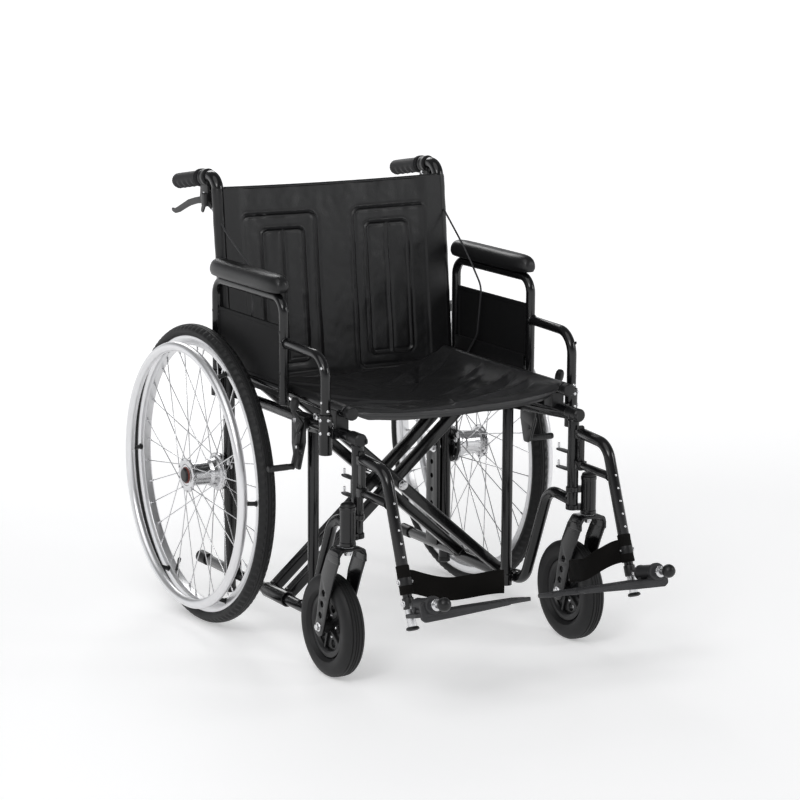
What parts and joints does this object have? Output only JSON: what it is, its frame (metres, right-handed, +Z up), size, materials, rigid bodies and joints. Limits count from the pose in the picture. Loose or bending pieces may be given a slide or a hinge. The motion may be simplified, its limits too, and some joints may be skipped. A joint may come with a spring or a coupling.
{
  "type": "manual wheelchair",
  "caption": "Folding self-propelled wheelchair: scissor-braced tube frame, spoked rear wheels with handrims, swivel casters, sling seat and back, lift-off armrests, swing-away footrests.",
  "frame": {"origin": "on the floor, under the centre of the whole chair's box", "axes": "+X to the chair's left side, +Y towards its back, +Z up; the chair faces -Y"},
  "size_m": [0.7244, 1.1672, 0.9153],
  "materials": {
    "frame_black": "gloss black powder coat",
    "black_steel": "satin black zinc",
    "vinyl_black": "black leathergrain vinyl",
    "panel_black": "black moulded plastic skirt guard",
    "webbing_black": "black nylon cloth",
    "pad_black": "moulded self-skinned foam, fine grain",
    "grip_rubber": "ribbed soft grip",
    "black_plastic": "moulded black nylon",
    "composite_grey": "dark grey glass-filled nylon",
    "tyre_black": "black rubber",
    "alloy": "satin anodised",
    "bright_steel": "bright zinc plate",
    "cable_grey": "grey-black cable sleeve"
  },
  "bodies": {
    "right_frame": {"right_side_frame": "frame_black", "right_back_cane": "frame_black", "right_push_grip": "grip_rubber", "right_brake_lever_mount": "black_plastic", "right_brake_cable": "cable_grey", "right_drum_plate": "black_steel", "right_wheel_lock_bracket": "black_steel", "back_sling": "vinyl_black"},
    "right_wheel": {"right_rear_hub": "bright_steel", "right_rear_spokes": "bright_steel", "right_rear_rim": "alloy", "right_rear_tyre": "tyre_black", "right_handrim": "alloy"},
    "right_fork": {"right_caster_fork": "frame_black"},
    "right_caster": {"right_caster_hub": "black_plastic", "right_caster_tyre": "tyre_black"},
    "right_armrest": {"right_armrest_frame": "frame_black", "right_arm_pad": "pad_black", "right_side_panel": "panel_black"},
    "right_arm_catch": {"right_arm_lock": "bright_steel"},
    "right_hand_brake": {"right_brake_lever": "black_plastic"},
    "right_lock_lever": {"right_wheel_lock_lever": "black_steel"},
    "right_lock_shoe": {"right_wheel_lock_shoe": "bright_steel"},
    "right_swing_hanger": {"right_hanger": "frame_black"},
    "right_swing_catch": {"right_hanger_latch": "black_steel"},
    "right_leg_tube": {"right_foot_tube": "frame_black", "right_heel_loop": "webbing_black"},
    "right_foot_board": {"right_footplate": "composite_grey"},
    "left_frame": {"left_side_frame": "frame_black", "left_back_cane": "frame_black", "left_push_grip": "grip_rubber", "left_brake_lever_mount": "black_plastic", "left_brake_cable": "cable_grey", "left_drum_plate": "black_steel", "left_wheel_lock_bracket": "black_steel"},
    "left_wheel": {"left_rear_hub": "bright_steel", "left_rear_spokes": "bright_steel", "left_rear_rim": "alloy", "left_rear_tyre": "tyre_black", "left_handrim": "alloy"},
    "left_fork": {"left_caster_fork": "frame_black"},
    "left_caster": {"left_caster_hub": "black_plastic", "left_caster_tyre": "tyre_black"},
    "left_armrest": {"left_armrest_frame": "frame_black", "left_arm_pad": "pad_black", "left_side_panel": "panel_black"},
    "left_arm_catch": {"left_arm_lock": "bright_steel"},
    "left_hand_brake": {"left_brake_lever": "black_plastic"},
    "left_lock_lever": {"left_wheel_lock_lever": "black_steel"},
    "left_lock_shoe": {"left_wheel_lock_shoe": "bright_steel"},
    "left_swing_hanger": {"left_hanger": "frame_black"},
    "left_swing_catch": {"left_hanger_latch": "black_steel"},
    "left_leg_tube": {"left_foot_tube": "frame_black", "left_heel_loop": "webbing_black"},
    "left_foot_board": {"left_footplate": "composite_grey"},
    "scissor_a": {"brace_a": "frame_black", "pivot_bolt": "bright_steel", "seat_sling": "vinyl_black"},
    "scissor_b": {"brace_b": "frame_black"}
  },
  "joints": [
    {"name": "fold", "type": "hinge", "parent": "right_frame", "child": "scissor_a", "pos_m": [-0.2446, 0.07859, 0.09], "axis": [0, -1, 0], "range_deg": [0, 35], "deforming": ["seat_sling", "back_sling", "left_brake_cable", "right_brake_cable"]},
    {"name": "scissor_cross", "type": "hinge", "parent": "scissor_a", "child": "scissor_b", "pos_m": [0, 0.07859, 0.3019], "axis": [0, 1, 0], "range_deg": [0, 70]},
    {"name": "left_frame_level", "type": "hinge", "parent": "scissor_b", "child": "left_frame", "pos_m": [0.2446, 0.07859, 0.09], "axis": [0, -1, 0], "range_deg": [0, 35]},
    {"name": "right_wheel_spin", "type": "hinge", "parent": "right_frame", "child": "right_wheel", "pos_m": [-0.314, 0.27859, 0.305], "axis": [1, 0, 0], "continuous": true},
    {"name": "right_caster_swivel", "type": "hinge", "parent": "right_frame", "child": "right_fork", "pos_m": [-0.2705, -0.25841, 0.27], "axis": [0, 0, 1], "continuous": true},
    {"name": "right_caster_spin", "type": "hinge", "parent": "right_fork", "child": "right_caster", "pos_m": [-0.2705, -0.19941, 0.1], "axis": [1, 0, 0], "continuous": true},
    {"name": "right_armrest_lift", "type": "slide", "parent": "right_frame", "child": "right_armrest", "axis": [0, 0, 1], "range_m": [0, 0.065]},
    {"name": "right_arm_catch_flip", "type": "hinge", "parent": "right_frame", "child": "right_arm_catch", "pos_m": [-0.2595, -0.16641, 0.488], "axis": [1, 0, 0], "range_deg": [0, 60]},
    {"name": "right_hand_brake_pull", "type": "hinge", "parent": "right_frame", "child": "right_hand_brake", "pos_m": [-0.257, 0.35659, 0.862], "axis": [1, 0, 0], "range_deg": [0, 14]},
    {"name": "right_wheel_lock", "type": "hinge", "parent": "right_frame", "child": "right_lock_lever", "pos_m": [-0.2665, -0.05641, 0.45], "axis": [1, 0, 0], "range_deg": [0, 35]},
    {"name": "right_lock_shoe_turn", "type": "hinge", "parent": "right_frame", "child": "right_lock_shoe", "pos_m": [-0.2715, -0.05641, 0.42], "axis": [1, 0, 0], "range_deg": [0, 24]},
    {"name": "right_hanger_swing", "type": "hinge", "parent": "right_frame", "child": "right_swing_hanger", "pos_m": [-0.242, -0.24441, 0.4], "axis": [0, 0, -1], "range_deg": [0, 90]},
    {"name": "right_swing_catch_turn", "type": "hinge", "parent": "right_frame", "child": "right_swing_catch", "pos_m": [-0.242, -0.24441, 0.37], "axis": [0, 0, -1], "range_deg": [0, 20]},
    {"name": "right_leg_length", "type": "slide", "parent": "right_swing_hanger", "child": "right_leg_tube", "axis": [0, 0.3475, 0.9377], "range_m": [-0.05, 0.02]},
    {"name": "right_footplate_flip", "type": "hinge", "parent": "right_leg_tube", "child": "right_foot_board", "pos_m": [-0.245, -0.50141, 0.208], "axis": [0, -0.9659, 0.2588], "range_deg": [0, 100], "deforming": ["right_heel_loop"]},
    {"name": "left_wheel_spin", "type": "hinge", "parent": "left_frame", "child": "left_wheel", "pos_m": [0.314, 0.27859, 0.305], "axis": [1, 0, 0], "continuous": true},
    {"name": "left_caster_swivel", "type": "hinge", "parent": "left_frame", "child": "left_fork", "pos_m": [0.2705, -0.25841, 0.27], "axis": [0, 0, 1], "continuous": true},
    {"name": "left_caster_spin", "type": "hinge", "parent": "left_fork", "child": "left_caster", "pos_m": [0.2705, -0.19941, 0.1], "axis": [1, 0, 0], "continuous": true},
    {"name": "left_armrest_lift", "type": "slide", "parent": "left_frame", "child": "left_armrest", "axis": [0, 0, 1], "range_m": [0, 0.065]},
    {"name": "left_arm_catch_flip", "type": "hinge", "parent": "left_frame", "child": "left_arm_catch", "pos_m": [0.2595, -0.16641, 0.488], "axis": [1, 0, 0], "range_deg": [0, 60]},
    {"name": "left_hand_brake_pull", "type": "hinge", "parent": "left_frame", "child": "left_hand_brake", "pos_m": [0.257, 0.35659, 0.862], "axis": [1, 0, 0], "range_deg": [0, 14]},
    {"name": "left_wheel_lock", "type": "hinge", "parent": "left_frame", "child": "left_lock_lever", "pos_m": [0.2665, -0.05641, 0.45], "axis": [1, 0, 0], "range_deg": [0, 35]},
    {"name": "left_lock_shoe_turn", "type": "hinge", "parent": "left_frame", "child": "left_lock_shoe", "pos_m": [0.2715, -0.05641, 0.42], "axis": [1, 0, 0], "range_deg": [0, 24]},
    {"name": "left_hanger_swing", "type": "hinge", "parent": "left_frame", "child": "left_swing_hanger", "pos_m": [0.242, -0.24441, 0.4], "axis": [0, 0, 1], "range_deg": [0, 90]},
    {"name": "left_swing_catch_turn", "type": "hinge", "parent": "left_frame", "child": "left_swing_catch", "pos_m": [0.242, -0.24441, 0.37], "axis": [0, 0, 1], "range_deg": [0, 20]},
    {"name": "left_leg_length", "type": "slide", "parent": "left_swing_hanger", "child": "left_leg_tube", "axis": [0, 0.3475, 0.9377], "range_m": [-0.05, 0.02]},
    {"name": "left_footplate_flip", "type": "hinge", "parent": "left_leg_tube", "child": "left_foot_board", "pos_m": [0.245, -0.50141, 0.208], "axis": [0, 0.9659, -0.2588], "range_deg": [0, 100], "deforming": ["left_heel_loop"]}
  ],
  "couplings": [
    {"joint": "scissor_cross", "follows": "fold", "ratio": 2},
    {"joint": "left_frame_level", "follows": "fold", "ratio": 1},
    {"joint": "right_lock_shoe_turn", "follows": "right_wheel_lock", "ratio": 0.68},
    {"joint": "right_footplate_flip", "follows": "fold", "ratio": 2.8571},
    {"joint": "left_lock_shoe_turn", "follows": "left_wheel_lock", "ratio": 0.68},
    {"joint": "left_footplate_flip", "follows": "fold", "ratio": 2.8571}
  ]
}
